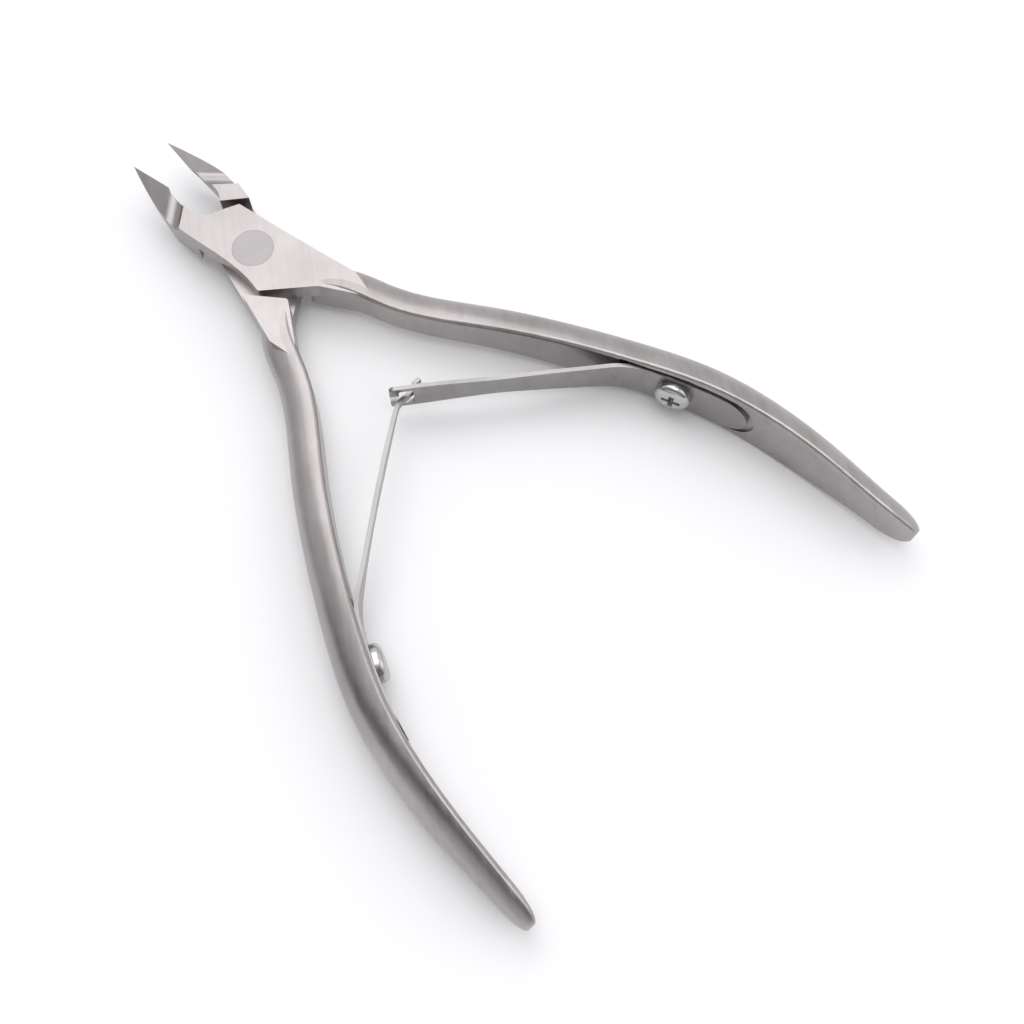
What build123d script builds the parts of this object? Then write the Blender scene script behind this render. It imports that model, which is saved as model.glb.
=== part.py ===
"""A cuticle nipper with a lap joint and two interlocking leaf springs, lying open.

The rivet's axis is the Z axis, the joint's flat underside is at Z = 0, the handles
run to +X and the jaws point to -X.  The upper half has its handle on the +Y side.
"""
import os
from math import atan2, cos, degrees, radians, sin, tan

from build123d import *

os.makedirs("parts", exist_ok=True)

# Joint
joint_thickness = 4.4
mid_z = joint_thickness / 2
lap_gap = 0.04
cutter_reach = 6.0

# Rivet, flush on both faces, with a countersunk head at each end
rivet_shank_radius = 1.5
rivet_head_radius = 2.5
rivet_head_depth = 1.0
rivet_clearance = 0.03

# Jaws: the cutting edges lie on a radius of the pivot, so that they meet when closed
jaw_opening = 7.25
tip_radius = 21.0
heel_radius = 14.3
tip_rise = 0.4
heel_rise = 1.8
outer_wall_point = (-16.07, -3.93, mid_z + 0.7)
hollow_undercut = 20.0
hollow_end_x = -10.0
hollow_ramp = 45.0
groove_radius = 1.6
groove_depth = 0.7
groove_centre = (-12.55, -2.15)
groove_turn = 39.0
groove_tilt = 12.0
groove_reach = 9.0
bevel_length = 11.5
bevel_tip = Vector(-20.6, -2.65, mid_z + 0.35)
bevel_side = Vector(-17.4, -3.65, mid_z + 0.6)
bevel_low = Vector(-13.0, -4.0, mid_z - 2.2)
facet_overhang = 3.0
facet_width = 14.0

# Plan of the upper half's flat joint faces
jaw_inner = [(-13.4, -2.1), (-10.9, -2.22), (-8.8, -1.9), (-7.55, -0.9)]
lap_front_inner = (-6.95, 0.55)
lap_front_outer = (-6.0, 2.85)
lap_side_mid = (1.0, 4.35)
flat_end_outer = (11.9, 6.9)
flat_end_inner = (15.6, 6.2)
flat_end_chamfer = 0.3
crotch = (9.5, 2.24)
crotch_radius = 1.6
lap_rear_outer = (5.0, -3.4)
lap_rear_radius = 0.4
jaw_back = [(-1.0, -3.4), (-6.0, -4.3), (-10.3, -4.78), (-15.4, -4.08)]

# Recess that takes the other half's lap
jaw_step_inner = (-7.99, -1.47)
jaw_step_outer = (-5.05, -5.38)
handle_step_inner = (8.3, 1.5)
handle_step_outer = (2.42, 6.5)
step_corner_radius = 0.5
recess_overrun = [(10.6, 1.0), (8.0, -5.38)]
jaw_step_overrun = 1.5

# Handle: its flat inner face follows this line, seen from above
handle_line = [
    (9.0, 1.95),
    (23.7, 10.1),
    (35.0, 17.2),
    (44.5, 22.1),
    (53.5, 25.75),
    (62.0, 27.5),
    (70.5, 28.35),
    (79.3, 28.75),
]
# How far along the line, then the section's height and its width there
handle_sections = [
    (0.00, 4.4, 3.6),
    (0.12, 4.5, 3.9),
    (0.28, 5.1, 4.0),
    (0.40, 6.2, 4.0),
    (0.52, 7.2, 4.1),
    (0.64, 8.0, 4.05),
    (0.74, 8.2, 3.7),
    (0.84, 7.4, 3.25),
    (0.93, 5.9, 2.8),
]
handle_edge_radius = 0.45
# The rounded tip: how far along the line, and what is left of the last section
tip_sections = [(0.972, 0.88), (0.991, 0.66), (1.0, 0.38)]

# Seats: shallow pockets in the inner faces for the springs' tails, as positions on the line
seat_depth = 0.3
seat_height = 6.4
seat_start = 0.493
seat_end = 0.717
screw_position = 0.585
tail_start = 0.538
tail_end = 0.705
seat_gap = 0.02

# Leaf springs
spring_thickness = 0.5
bend_radius = 11.0
bend_angle = 25.0
arm_radius = 305.0
arm_angle = 4.8
spring_base_height = 5.6
# Side views: how far from the fork's end, then the strip's height there
slotted_profile = [(3.0, 4.2), (13.3, 3.4), (18.8, 4.0), (23.8, 4.5), (28.5, 5.4)]
hook_profile = [(3.4, 0.9), (6.5, 1.4), (14.0, 1.5), (21.5, 1.9), (25.5, 3.4), (28.5, 5.0)]
full_height_from = 31.5
fork_height = 4.2
fork_corner = 0.7
fork_slot = 1.0
cross_slot_length = 1.7
cross_slot_height = 2.9
cross_slot_inset = 1.1
cross_slot_corner = 0.3
hook_arm_angle = 4.2
neck_radius = 3.0
neck_angle = 33.0
neck_length = 2.9
neck_height = 0.9
hook_head_height = 3.2
hook_head_length = 1.0
hook_clearance = 2.5

# Cross-recessed M2.5 pan head screws
screw_radius = 1.25
screw_bite = 1.8
tapped_depth = 2.0
screw_hole_radius = 1.45
head_gap = 0.05
screw_head_radius = 2.25
screw_head_height = 1.3
screw_rim_height = 0.45
screw_flat_radius = 1.2
screw_point = 0.25
recess_span = 2.3
recess_width = 0.62
recess_depth = 0.8
recess_taper = 9.0

# Sizes of the shapes that only cut or trim
view_depth = 60.0
view_length = 80.0


def lifted(point, z):
    """The plan point at height z."""
    return (point[0], point[1], z)


def along(start, angle, distance):
    """The plan point at a distance from start, in the direction of angle."""
    return (start[0] + distance * cos(radians(angle)), start[1] + distance * sin(radians(angle)))


# Corners that follow from the dimensions above
jaw_tip = along((0, 0), 180 + jaw_opening, tip_radius)
heel = along((0, 0), 180 + jaw_opening, heel_radius)
edge_tip = Vector(*lifted(jaw_tip, mid_z + tip_rise))
edge_heel = Vector(*lifted(heel, mid_z + heel_rise))
edge_direction = (edge_heel - edge_tip).normalized()


def facet_plane(point, through, side):
    """A plane at point, with X towards the joint, through a third point, facing side."""
    x_dir = edge_direction
    normal = x_dir.cross(Vector(*through) - point).normalized()
    if normal.dot(Vector(*side)) < 0:
        normal = normal * -1
    return Plane(origin=point, x_dir=x_dir, z_dir=normal)


top_facet = facet_plane(edge_tip, outer_wall_point, (0, 0, 1))
hollow_point = edge_heel + Vector(0, -tan(radians(hollow_undercut)), -1)
hollow_facet = facet_plane(edge_tip, hollow_point, (0, 0, -1))
bevel_normal = (bevel_side - bevel_tip).cross(bevel_low - bevel_tip).normalized()
if bevel_normal.Y > 0:
    bevel_normal = bevel_normal * -1
back_bevel = Plane(origin=bevel_tip, x_dir=bevel_side - bevel_tip, z_dir=bevel_normal)

hollow_length = (hollow_end_x - edge_tip.X) / edge_direction.X

groove_side = radians(groove_turn)
groove_fall = radians(groove_tilt)
groove_axis = Plane(
    origin=lifted(groove_centre, joint_thickness - groove_depth + groove_radius),
    x_dir=(cos(groove_side), sin(groove_side), 0),
    z_dir=(sin(groove_side) * cos(groove_fall), -cos(groove_side) * cos(groove_fall), -sin(groove_fall)),
)


def lengthways_cutter(plane, length, ramp):
    """Fill the plane's positive side, up to a length towards the joint that ends in a ramp."""
    with BuildSketch(plane) as cut:
        with Locations(((length - facet_overhang) / 2, 0)):
            Rectangle(length + facet_overhang, facet_width)
    extrude(cut.sketch, amount=cutter_reach, taper=-ramp)


def upright_plane(point, angle):
    """A plane standing on point: its X runs in the direction of angle and its Y points up."""
    facing = angle - 90
    return Plane(
        origin=lifted(point, mid_z),
        x_dir=(cos(radians(angle)), sin(radians(angle)), 0),
        z_dir=(cos(radians(facing)), sin(radians(facing)), 0),
    )


def section_plane(line, position):
    """A plane across the handle: its X points outwards and its Y points up."""
    tangent = line % position
    outward = Vector(-tangent.Y, tangent.X, 0)
    return Plane(origin=line @ position, x_dir=outward, z_dir=outward.cross(Vector(0, 0, 1)))


with BuildLine(Plane.XY.offset(mid_z)) as handle_path:
    Spline(*handle_line)
handle_wire = handle_path.wire()


def beside_handle(position, distance):
    """The plan point beside the handle's inner face: positive distances go into the handle."""
    point = handle_wire @ position
    tangent = handle_wire % position
    return (point.X - distance * tangent.Y, point.Y + distance * tangent.X)


def line_beside_handle(first, last, distance):
    """Draw a curve that keeps its distance from the handle's inner face."""
    positions = [first + (last - first) * step / 4 for step in range(5)]
    points = [beside_handle(position, distance) for position in positions]
    ends = [handle_wire % first, handle_wire % last]
    way = 1 if last > first else -1
    return Spline(*points, tangents=[(way * end.X, way * end.Y) for end in ends])


def handle_angle(position):
    """The direction of the handle's inner face, in degrees."""
    tangent = handle_wire % position
    return degrees(atan2(tangent.Y, tangent.X))


seat_point = beside_handle(screw_position, seat_depth)
seat_plane = upright_plane(seat_point, handle_angle(screw_position))
screw_side = Plane(origin=seat_plane.origin, x_dir=(0, 0, 1), z_dir=seat_plane.x_dir)
screw_seat_height = seat_gap + spring_thickness + head_gap


def rounded_end(position, height):
    """Trim what is built so far to a rounded end, seen square to the seat."""
    reach = (Vector(*lifted(beside_handle(position, 0), mid_z)) - seat_plane.origin).dot(seat_plane.x_dir)
    with BuildSketch(seat_plane) as end_view:
        with Locations((reach - height / 2, 0)):
            Circle(height / 2)
        with Locations((reach - height / 2 - view_length / 2, 0)):
            Rectangle(view_length, height)
    extrude(end_view.sketch, amount=view_depth, both=True, mode=Mode.INTERSECT)


# The forging that both halves are made from, in the upper half's place
with BuildPart() as forging:
    # Flat joint plate, with the jaw
    with BuildSketch():
        with BuildLine():
            Line(jaw_tip, heel)
            Line(heel, jaw_inner[0])
            Spline(*jaw_inner, lap_front_inner)
            Line(lap_front_inner, lap_front_outer)
            Spline(lap_front_outer, lap_side_mid, flat_end_outer)
            Line(flat_end_outer, flat_end_inner)
            FilletPolyline(flat_end_inner, crotch, lap_rear_outer, radius=crotch_radius)
            Spline(lap_rear_outer, *jaw_back, jaw_tip)
        make_face()
        fillet(vertices().sort_by_distance(lap_rear_outer)[0], radius=lap_rear_radius)
    extrude(amount=joint_thickness)
    flat_end = forging.faces().filter_by(lambda face: abs(face.normal_at().Z) < 0.1)
    flat_end = flat_end.sort_by(Axis.X)[-1]
    end_edges = flat_end.edges().filter_by(lambda edge: abs((edge % 0.5).Z) < 0.1)
    chamfer(end_edges, length=flat_end_chamfer)

    # Handle, D-shaped in section, with its flat face towards the other handle
    for position, height, width in handle_sections:
        with BuildSketch(section_plane(handle_wire, position)):
            with BuildLine():
                EllipticalCenterArc((0, 0), width, height / 2, start_angle=-90, arc_size=180)
                Line((0, height / 2), (0, -height / 2))
            make_face()
            fillet(vertices(), radius=handle_edge_radius)
    last_height, last_width = handle_sections[-1][1:]
    for position, scale in tip_sections:
        height, width = last_height * scale, last_width * scale
        with BuildSketch(section_plane(handle_wire, position)):
            with BuildLine():
                inset = (last_width - width) / 2
                EllipticalCenterArc((inset, 0), width, height / 2, start_angle=-90, arc_size=180)
                Line((inset, height / 2), (inset, -height / 2))
            make_face()
            fillet(vertices(), radius=handle_edge_radius * scale)
    loft()

    # Recess for the other half's lap
    with BuildSketch(Plane.XY.offset(-cutter_reach)):
        with BuildLine():
            jaw_step = Line(jaw_step_outer, jaw_step_inner)
            jaw_step_end = jaw_step @ jaw_step_overrun
            Line(jaw_step @ 1, jaw_step_end)
            Line(jaw_step_end, (jaw_step_end.X, handle_step_outer[1]))
            Line((jaw_step_end.X, handle_step_outer[1]), handle_step_outer)
            FilletPolyline(handle_step_outer, handle_step_inner, crotch, radius=step_corner_radius)
            Polyline(crotch, *recess_overrun, jaw_step_outer)
        make_face()
    extrude(amount=cutter_reach + mid_z + lap_gap / 2, mode=Mode.SUBTRACT)

    # Tapped blind hole for the spring's screw
    with BuildSketch(seat_plane):
        Circle(screw_radius)
    extrude(amount=-tapped_depth, mode=Mode.SUBTRACT)

# What is cut away along the inner face to seat the leaf spring's tail
with BuildPart() as seat_cutter:
    with BuildSketch(Plane.XY.offset(mid_z)):
        with BuildLine():
            floor_line = line_beside_handle(seat_start, seat_end, seat_depth)
            seat_near = beside_handle(seat_start, -cutter_reach)
            seat_far = beside_handle(seat_end, -cutter_reach)
            Polyline(floor_line @ 1, seat_far, seat_near, floor_line @ 0)
        make_face()
    extrude(amount=seat_height / 2, both=True)
    rounded_end(seat_end, seat_height)

# What is ground away from the upper half's jaw; the lower half's jaw is its mirror image
with BuildPart() as jaw_cutter:
    # Facet above the cutting edge, which ends in the groove
    with BuildSketch():
        groove_inner = along(groove_centre, groove_turn + 90, groove_reach)
        groove_outer = along(groove_centre, groove_turn - 90, groove_reach)
        facet_far_x = edge_tip.X - facet_overhang
        Polygon(
            groove_inner,
            (facet_far_x, groove_inner[1]),
            (facet_far_x, groove_outer[1]),
            groove_outer,
            align=None,
        )
    extrude(amount=joint_thickness + cutter_reach)
    split(bisect_by=top_facet, keep=Keep.TOP)
    with BuildSketch(groove_axis):
        Circle(groove_radius)
    extrude(amount=cutter_reach, both=True)
    # Hollow under the cutting edge and bevel on the back
    lengthways_cutter(hollow_facet, hollow_length, hollow_ramp)
    lengthways_cutter(back_bevel, bevel_length, 0)

turned_over = Plane.XY.offset(mid_z).location * Rot(180, 0, 0) * Pos(0, 0, -mid_z)


def rivet_outline(gap):
    """Half of the rivet's section, or of a hole larger by gap all round."""
    shank = rivet_shank_radius + gap
    head = rivet_head_radius + gap
    top = joint_thickness
    Polyline(
        (0, 0),
        (head, 0),
        (shank, rivet_head_depth),
        (shank, top - rivet_head_depth),
        (head, top),
        (0, top),
        close=True,
    )


with BuildPart() as upper_half:
    add(forging.part)
    add(seat_cutter.part, mode=Mode.SUBTRACT)
    add(jaw_cutter.part, mode=Mode.SUBTRACT)
    with BuildSketch(Plane.XZ):
        with BuildLine():
            rivet_outline(rivet_clearance)
        make_face()
    revolve(axis=Axis.Z, mode=Mode.SUBTRACT)
upper_half.part.label = "upper_half"
export_step(upper_half.part, "parts/upper_half.step")

with BuildPart() as lower_half:
    add(forging.part.moved(turned_over))
    add(seat_cutter.part.moved(turned_over), mode=Mode.SUBTRACT)
    add(jaw_cutter.part.mirror(Plane.XZ), mode=Mode.SUBTRACT)
    with BuildSketch(Plane.XZ):
        with BuildLine():
            rivet_outline(0)
        make_face()
    revolve(axis=Axis.Z, mode=Mode.SUBTRACT)
lower_half.part.label = "lower_half"
export_step(lower_half.part, "parts/lower_half.step")

with BuildPart() as pivot_rivet:
    with BuildSketch(Plane.XZ):
        with BuildLine():
            rivet_outline(0)
        make_face()
    revolve(axis=Axis.Z)
pivot_rivet.part.label = "pivot_rivet"
export_step(pivot_rivet.part, "parts/pivot_rivet.step")


tail_offset = seat_depth - seat_gap - spring_thickness / 2
bend_start = beside_handle(tail_start, tail_offset)
bend_heading = handle_angle(tail_start) + 180
bend_centre = along(bend_start, bend_heading + 90, bend_radius)
arm_start = along(bend_centre, bend_heading - 90 + bend_angle, bend_radius)
arm_heading = bend_heading + bend_angle
arm_centre = along(arm_start, arm_heading + 90, arm_radius)
fork_end = along(arm_centre, arm_heading - 90 + arm_angle, arm_radius)
fork_view = upright_plane(fork_end, arm_heading + arm_angle - 180)


def profile_line(profile):
    """Draw one edge of a spring's side view, from the first point out to the tail."""
    full_height = spring_base_height / 2
    points = [(distance, height / 2) for distance, height in profile]
    Spline(*points, (full_height_from, full_height), tangents=[(1, 0), (1, 0)])
    Line((full_height_from, full_height), (view_length, full_height))
    Line((view_length, full_height), (view_length, 0))


with BuildPart() as slotted_spring:
    with BuildSketch(Plane.XY.offset(mid_z)):
        with BuildLine():
            line_beside_handle(tail_end, tail_start, tail_offset)
            CenterArc(bend_centre, bend_radius, bend_heading - 90, bend_angle)
            CenterArc(arm_centre, arm_radius, arm_heading - 90, arm_angle)
        trace(line_width=spring_thickness)
    extrude(amount=spring_base_height / 2, both=True)
    # Side view of the arm, which narrows to a waist and widens again at the fork
    with BuildSketch(fork_view):
        with BuildLine():
            waist_start = (slotted_profile[0][0], fork_height / 2)
            FilletPolyline((0, 0), (0, fork_height / 2), waist_start, radius=fork_corner)
            profile_line(slotted_profile)
            Line((view_length, 0), (0, 0))
        make_face()
        mirror(about=Plane.XZ)
    extrude(amount=view_depth, both=True, mode=Mode.INTERSECT)
    # Fork, with an open slot that ends in a taller cross-slot
    with BuildSketch(fork_view):
        Rectangle(2 * cross_slot_inset + cross_slot_corner, fork_slot)
        with Locations((cross_slot_inset + cross_slot_length / 2, 0)):
            RectangleRounded(cross_slot_length, cross_slot_height, cross_slot_corner)
    extrude(amount=cutter_reach, both=True, mode=Mode.SUBTRACT)
    # Rounded tail with the screw's hole
    rounded_end(tail_end, spring_base_height)
    with BuildSketch(seat_plane):
        Circle(screw_hole_radius)
    extrude(amount=cutter_reach, mode=Mode.SUBTRACT)
slotted_spring.part.label = "slotted_spring"
export_step(slotted_spring.part, "parts/slotted_spring.step")

with BuildPart() as slotted_spring_screw:
    with BuildSketch(screw_side):
        with BuildLine():
            head_top = screw_seat_height + screw_head_height
            Polyline(
                (0, head_top),
                (0, -screw_bite),
                (screw_radius - screw_point, -screw_bite),
                (screw_radius, -screw_bite + screw_point),
                (screw_radius, screw_seat_height),
                (screw_head_radius, screw_seat_height),
                (screw_head_radius, screw_seat_height + screw_rim_height),
            )
            EllipticalCenterArc(
                (screw_flat_radius, screw_seat_height + screw_rim_height),
                screw_head_radius - screw_flat_radius,
                screw_head_height - screw_rim_height,
                start_angle=0,
                arc_size=90,
            )
            Line((screw_flat_radius, head_top), (0, head_top))
        make_face()
    revolve(axis=Axis(seat_plane.origin, seat_plane.z_dir))
    with BuildSketch(seat_plane.offset(head_top)):
        Rectangle(recess_span, recess_width)
        Rectangle(recess_width, recess_span)
    extrude(amount=-recess_depth, taper=recess_taper, mode=Mode.SUBTRACT)
slotted_spring_screw.part.label = "slotted_spring_screw"
export_step(slotted_spring_screw.part, "parts/slotted_spring_screw.step")

with BuildPart() as hook_spring_screw:
    add(slotted_spring_screw.part.moved(turned_over))
hook_spring_screw.part.label = "hook_spring_screw"
export_step(hook_spring_screw.part, "parts/hook_spring_screw.step")

# The hook spring is drawn on the upper half's side too, then turned over
hook_arm_end = along(arm_centre, arm_heading - 90 + hook_arm_angle, arm_radius)
neck_heading = arm_heading + hook_arm_angle
neck_centre = along(hook_arm_end, neck_heading + 90, neck_radius)
neck_start = along(neck_centre, neck_heading - 90 + neck_angle, neck_radius)
hook_tip = along(neck_start, neck_heading + neck_angle, neck_length)
hook_view = upright_plane(hook_tip, neck_heading + neck_angle - 180)
hook_reach = neck_length + neck_radius * sin(radians(neck_angle))

with BuildPart() as hook_spring_blank:
    with BuildSketch(Plane.XY.offset(mid_z)):
        with BuildLine():
            line_beside_handle(tail_end, tail_start, tail_offset)
            CenterArc(bend_centre, bend_radius, bend_heading - 90, bend_angle)
            CenterArc(arm_centre, arm_radius, arm_heading - 90, hook_arm_angle)
            CenterArc(neck_centre, neck_radius, neck_heading - 90, neck_angle)
            Line(neck_start, hook_tip)
        trace(line_width=spring_thickness)
    extrude(amount=spring_base_height / 2, both=True)
    # Side view of the narrow arm
    with BuildSketch(fork_view):
        with BuildLine():
            narrow_from, narrow_height = hook_profile[0]
            Polyline(
                (-hook_clearance, 0),
                (-hook_clearance, spring_base_height / 2),
                (hook_clearance, spring_base_height / 2),
                (hook_clearance, narrow_height / 2),
                (narrow_from, narrow_height / 2),
            )
            profile_line(hook_profile)
            Line((view_length, 0), (-hook_clearance, 0))
        make_face()
        mirror(about=Plane.XZ)
    extrude(amount=view_depth, both=True, mode=Mode.INTERSECT)
    # Neck and T-shaped head
    with BuildSketch(hook_view):
        with BuildLine():
            Polyline(
                (0, 0),
                (0, hook_head_height / 2),
                (hook_head_length, hook_head_height / 2),
                (hook_head_length, neck_height / 2),
                (hook_reach, neck_height / 2),
                (hook_reach, spring_base_height / 2),
                (view_length, spring_base_height / 2),
                (view_length, 0),
                close=True,
            )
        make_face()
        mirror(about=Plane.XZ)
    extrude(amount=view_depth, both=True, mode=Mode.INTERSECT)
    # Rounded tail with the screw's hole
    rounded_end(tail_end, spring_base_height)
    with BuildSketch(seat_plane):
        Circle(screw_hole_radius)
    extrude(amount=cutter_reach, mode=Mode.SUBTRACT)

with BuildPart() as hook_spring:
    add(hook_spring_blank.part.moved(turned_over))
hook_spring.part.label = "hook_spring"
export_step(hook_spring.part, "parts/hook_spring.step")
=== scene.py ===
import bmesh
import bpy
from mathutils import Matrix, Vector


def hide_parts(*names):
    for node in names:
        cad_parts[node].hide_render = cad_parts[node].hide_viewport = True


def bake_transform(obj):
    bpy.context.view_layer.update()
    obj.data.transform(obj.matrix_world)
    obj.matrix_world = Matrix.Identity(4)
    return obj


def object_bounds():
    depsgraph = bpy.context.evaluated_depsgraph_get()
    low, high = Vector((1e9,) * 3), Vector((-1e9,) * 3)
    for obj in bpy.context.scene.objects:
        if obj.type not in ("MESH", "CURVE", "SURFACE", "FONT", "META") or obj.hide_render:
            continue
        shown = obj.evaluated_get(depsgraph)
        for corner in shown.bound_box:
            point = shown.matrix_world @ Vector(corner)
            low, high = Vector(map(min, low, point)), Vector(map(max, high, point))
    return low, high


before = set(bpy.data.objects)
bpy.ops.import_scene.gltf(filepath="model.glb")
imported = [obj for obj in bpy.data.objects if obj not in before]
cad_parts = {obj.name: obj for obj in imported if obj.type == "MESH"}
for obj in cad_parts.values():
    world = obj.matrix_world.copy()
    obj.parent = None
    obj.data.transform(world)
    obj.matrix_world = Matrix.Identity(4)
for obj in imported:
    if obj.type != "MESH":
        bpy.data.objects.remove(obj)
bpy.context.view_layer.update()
mm = 0.001


# Materials

def value_range(tree, source, low, high, source_low, source_high):
    node = tree.nodes.new("ShaderNodeMapRange")
    node.inputs["From Min"].default_value = source_low
    node.inputs["From Max"].default_value = source_high
    node.inputs["To Min"].default_value = low
    node.inputs["To Max"].default_value = high
    tree.links.new(source, node.inputs["Value"])
    return node.outputs["Result"]


def noise(tree, coords, stretch, scale, detail, rough, turn=(0, 0, 0)):
    """Noise stretched along an axis: stretch is how many times finer it is on X, Y and Z."""
    turned = tree.nodes.new("ShaderNodeMapping")
    turned.vector_type = "POINT"
    turned.inputs["Rotation"].default_value = turn
    tree.links.new(coords, turned.inputs["Vector"])
    scaled = tree.nodes.new("ShaderNodeVectorMath")
    scaled.operation = "MULTIPLY"
    scaled.inputs[1].default_value = stretch
    tree.links.new(turned.outputs["Vector"], scaled.inputs[0])
    node = tree.nodes.new("ShaderNodeTexNoise")
    node.inputs["Scale"].default_value = scale
    node.inputs["Detail"].default_value = detail
    node.inputs["Roughness"].default_value = rough
    tree.links.new(scaled.outputs["Vector"], node.inputs["Vector"])
    return node.outputs["Fac"]


def mix_values(tree, a, b, factor):
    node = tree.nodes.new("ShaderNodeMix")
    node.data_type = "FLOAT"
    node.inputs["Factor"].default_value = factor
    tree.links.new(a, node.inputs["A"])
    tree.links.new(b, node.inputs["B"])
    return node.outputs["Result"]


# How often the marks in the steel repeat along X, Y and Z, per metre
fine_grain = (40, 1400, 700)
wide_grain = (18, 420, 260)
cloud_scale = 90.0
tone_range = (0.3, 0.72)
gloss_range = (0.3, 0.7)


def steel(name, dark, light, rough, grain_turn, grain=1.0, bump=0.012):
    """Brushed stainless steel: fine scratches along one direction, soft mottling, uneven gloss."""
    material = bpy.data.materials.new(name)
    material.use_nodes = True
    tree = material.node_tree
    shader = tree.nodes["Principled BSDF"]
    shader.inputs["Metallic"].default_value = 1.0
    shader.inputs["Anisotropic"].default_value = 0.35
    place = tree.nodes.new("ShaderNodeTexCoord").outputs["Object"]
    fine = noise(tree, place, [grain * rate for rate in fine_grain], 1.0, 4.0, 0.6, grain_turn)
    wide = noise(tree, place, [grain * rate for rate in wide_grain], 1.0, 2.0, 0.5, grain_turn)
    cloud = noise(tree, place, (1, 1, 1), cloud_scale, 4.0, 0.6)
    brushed = mix_values(tree, fine, wide, 0.4)
    tone = mix_values(tree, brushed, cloud, 0.5)
    ramp = tree.nodes.new("ShaderNodeValToRGB")
    for stop, position, colour in zip(ramp.color_ramp.elements, tone_range, (dark, light)):
        stop.position = position
        stop.color = (*colour, 1)
    tree.links.new(tone, ramp.inputs["Fac"])
    tree.links.new(ramp.outputs["Color"], shader.inputs["Base Color"])
    gloss = value_range(tree, brushed, *rough, *gloss_range)
    tree.links.new(gloss, shader.inputs["Roughness"])
    bumped = tree.nodes.new("ShaderNodeBump")
    bumped.inputs["Strength"].default_value = 1.0
    bumped.inputs["Distance"].default_value = bump * mm
    tree.links.new(brushed, bumped.inputs["Height"])
    tree.links.new(bumped.outputs["Normal"], shader.inputs["Normal"])
    return material


forged = steel(
    "forged_steel",
    dark=(0.285, 0.265, 0.262),
    light=(0.475, 0.445, 0.44),
    rough=(0.26, 0.38),
    grain_turn=(0, 0, 0.6),
)
rivet = steel(
    "rivet_steel",
    dark=(0.245, 0.23, 0.235),
    light=(0.36, 0.34, 0.345),
    rough=(0.30, 0.42),
    grain_turn=(0, 0, 1.9),
)
spring = steel(
    "spring_steel",
    dark=(0.24, 0.23, 0.23),
    light=(0.40, 0.385, 0.385),
    rough=(0.26, 0.36),
    grain_turn=(0, 0, 0.9),
    bump=0.008,
)
screw = steel(
    "screw_steel",
    dark=(0.42, 0.41, 0.41),
    light=(0.62, 0.61, 0.60),
    rough=(0.14, 0.24),
    grain_turn=(0, 0, 0),
    grain=0.6,
    bump=0.01,
)

finishes = {
    "upper_half": forged,
    "lower_half": forged,
    "pivot_rivet": rivet,
    "slotted_spring": spring,
    "hook_spring": spring,
    "slotted_spring_screw": screw,
    "hook_spring_screw": screw,
}
for node_name, material in finishes.items():
    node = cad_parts[node_name]
    for index in range(len(node.material_slots)):
        node.material_slots[index].material = material


# Leaf springs: the CAD strips, cut finely enough to bend where the arm leaves the tail

bend_from = Vector((45.5, 22.6, 2.2)) * mm
bend_to = Vector((37.0, 14.0, 2.2)) * mm
bend_cuts = 28


def flexing_strip(node_name, new_name, side):
    """A copy of a spring strip, sliced many times between its tail's body and its arm's body."""
    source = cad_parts[node_name]
    shape = source.data.copy()
    shape.transform(source.matrix_world)
    work = bmesh.new()
    work.from_mesh(shape)
    start = Vector((bend_from.x, bend_from.y * side, bend_from.z))
    end = Vector((bend_to.x, bend_to.y * side, bend_to.z))
    for index in range(bend_cuts + 1):
        everything = work.verts[:] + work.edges[:] + work.faces[:]
        point = start.lerp(end, index / bend_cuts)
        bmesh.ops.bisect_plane(work, geom=everything, plane_co=point, plane_no=end - start, dist=1e-7)
    work.to_mesh(shape)
    work.free()
    piece = bpy.data.objects.new(new_name, shape)
    bpy.context.collection.objects.link(piece)
    for index in range(len(shape.materials)):
        shape.materials[index] = spring
    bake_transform(piece)
    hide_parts(node_name)


flexing_strip("slotted_spring", "slotted_spring_strip", 1)
flexing_strip("hook_spring", "hook_spring_strip", -1)


# Floor, light and camera

def plain(name, colour, rough):
    material = bpy.data.materials.new(name)
    material.use_nodes = True
    shader = material.node_tree.nodes["Principled BSDF"]
    shader.inputs["Base Color"].default_value = (*colour, 1)
    shader.inputs["Roughness"].default_value = rough
    return material


floor_size = 6.0
floor_gap = 0.05 * mm
centre = Vector((0.04, 0, 0))
floor_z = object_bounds()[0][2] - floor_gap
bpy.ops.mesh.primitive_plane_add(size=floor_size, location=(centre.x, centre.y, floor_z))
floor = bpy.context.object
floor.name = "floor"
floor.data.materials.append(plain("floor_white", (0.97, 0.968, 0.975), 0.9))


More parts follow.
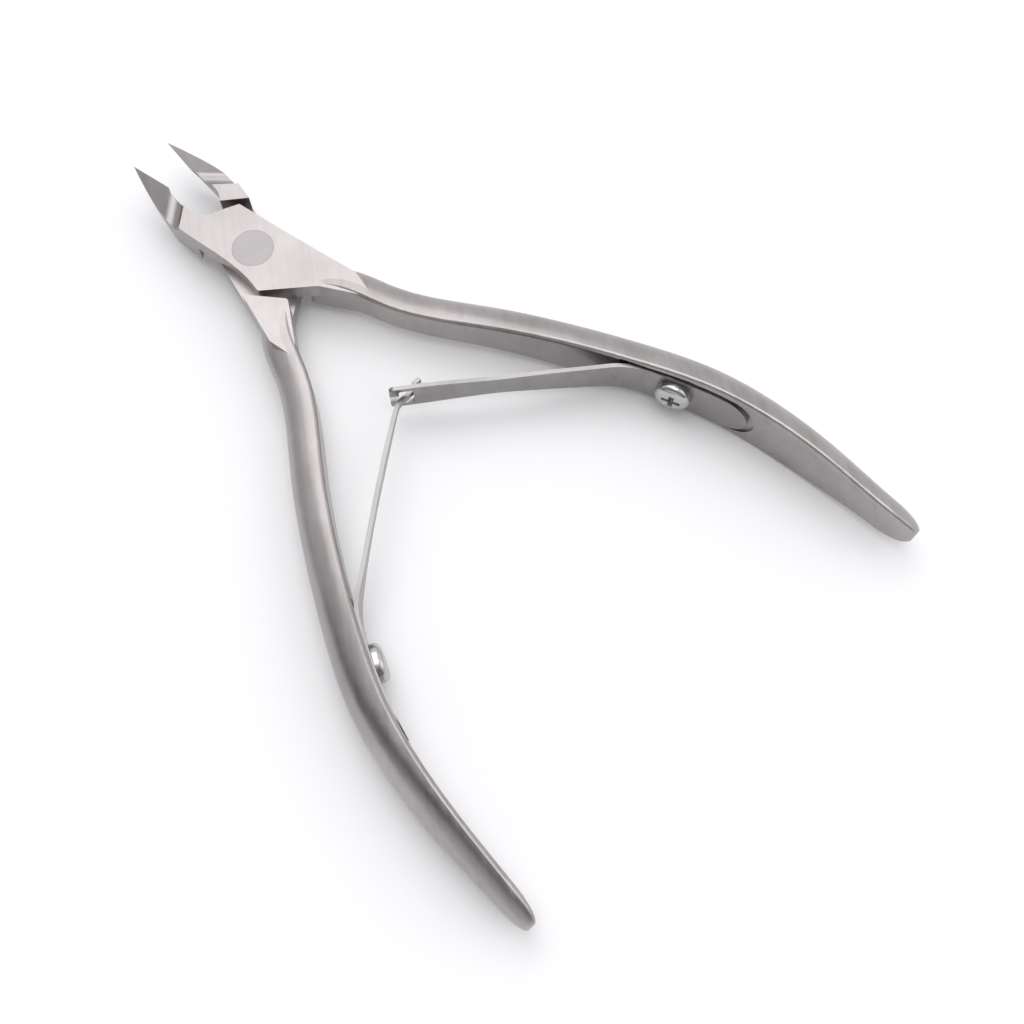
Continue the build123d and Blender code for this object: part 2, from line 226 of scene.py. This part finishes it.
def soft_light(name, place, target, size, power):
    lamp = bpy.data.lights.new(name, "AREA")
    lamp.shape = "RECTANGLE"
    lamp.size, lamp.size_y = size
    lamp.energy = power
    holder = bpy.data.objects.new(name, lamp)
    bpy.context.collection.objects.link(holder)
    holder.location = place
    holder.rotation_euler = (target - place).to_track_quat("-Z", "Y").to_euler()


camera_target = Vector((45.8, -0.6, 2.2)) * mm
camera_place = Vector((82.3, -35.8, 134.2)) * mm
camera = bpy.data.objects.new("camera", bpy.data.cameras.new("camera"))
bpy.context.collection.objects.link(camera)
camera.location = camera_place
camera.rotation_euler = (camera_target - camera_place).to_track_quat("-Z", "Y").to_euler()
camera.data.lens = 43.98
camera.data.sensor_width = 36.0
camera.data.clip_start = 0.005
bpy.context.scene.camera = camera

# The picture's right and depth on the floor
right = Vector((0.694, 0.720, 0))
away = Vector((-0.720, 0.694, 0))
up = Vector((0, 0, 1))


def around(across, back, high):
    """A place near the object, in metres across the picture, into it and above the floor."""
    return centre + right * across + away * back + up * high


soft_light("key", around(-0.15, 0.35, 0.55), centre, (0.5, 0.4), 0.9)
soft_light("fill", around(0.45, -0.1, 0.4), centre, (0.4, 0.4), 0.3)
soft_light("top", around(0.0, -0.03, 0.7), centre, (0.42, 0.42), 0.95)

# The room is bright all round but for a darker side, which shades the nearer handle's flank
world = bpy.data.worlds.new("studio")
bpy.context.scene.world = world
world.use_nodes = True
room = world.node_tree
direction = room.nodes.new("ShaderNodeTexCoord").outputs["Generated"]
across_room = room.nodes.new("ShaderNodeVectorMath")
across_room.operation = "DOT_PRODUCT"
across_room.inputs[1].default_value = (-0.35, 0.93, 0.1)
room.links.new(direction, across_room.inputs[0])
shade = room.nodes.new("ShaderNodeValToRGB")
shade.color_ramp.interpolation = "EASE"
for index, (position, value) in enumerate([(0.05, 0.75), (0.24, 0.16), (0.42, 0.75), (0.8, 1.0)]):
    stops = shade.color_ramp.elements
    stop = stops[index] if index < 2 else stops.new(position)
    stop.position = position
    stop.color = (value * 0.985, value * 0.98, value, 1)
room.links.new(value_range(room, across_room.outputs["Value"], 0.0, 1.0, -1.0, 1.0), shade.inputs["Fac"])
background = room.nodes["Background"]
room.links.new(shade.outputs["Color"], background.inputs["Color"])
background.inputs["Strength"].default_value = 0.98
bpy.context.scene.view_settings.view_transform = "Standard"
